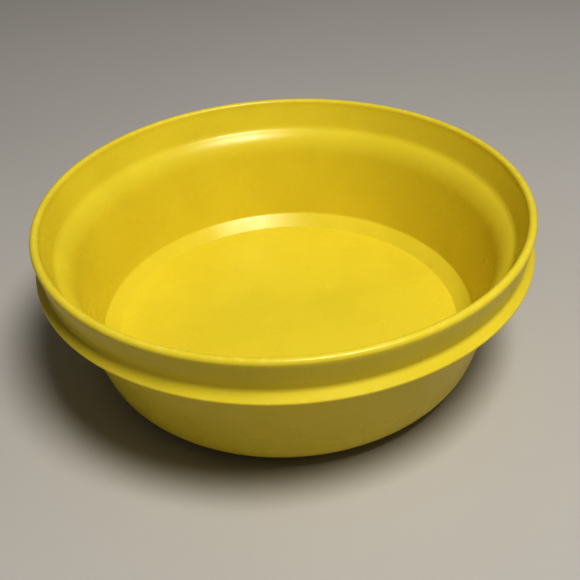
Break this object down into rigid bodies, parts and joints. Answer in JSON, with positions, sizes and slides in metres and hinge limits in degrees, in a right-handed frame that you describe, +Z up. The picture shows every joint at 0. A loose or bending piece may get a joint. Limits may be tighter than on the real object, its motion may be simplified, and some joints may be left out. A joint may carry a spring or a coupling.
{
  "type": "suction bowl",
  "caption": "Round moulded toddler's bowl with a rounded lip, a short collar over a flange ring, a sloping shoulder, a tapered wall and a soft suction cup plugged in under the floor.",
  "frame": {"origin": "on the table, at the middle of the suction cup's contact ring", "axes": "+Z up, along the axis of the bowl"},
  "size_m": [0.1404, 0.1404, 0.05],
  "materials": {
    "bowl_plastic": "smooth glossy moulded yellow polypropylene",
    "cup_rubber": "soft, milky white, satin thermoplastic rubber"
  },
  "bodies": {
    "bowl": {"bowl_shell": "bowl_plastic"},
    "suction_cup": {"suction_cup": "cup_rubber"}
  },
  "joints": [
    {"name": "suction_cup_pull", "type": "slide", "parent": "bowl", "child": "suction_cup", "axis": [0, 0, -1], "range_m": [0, 0.012]}
  ]
}
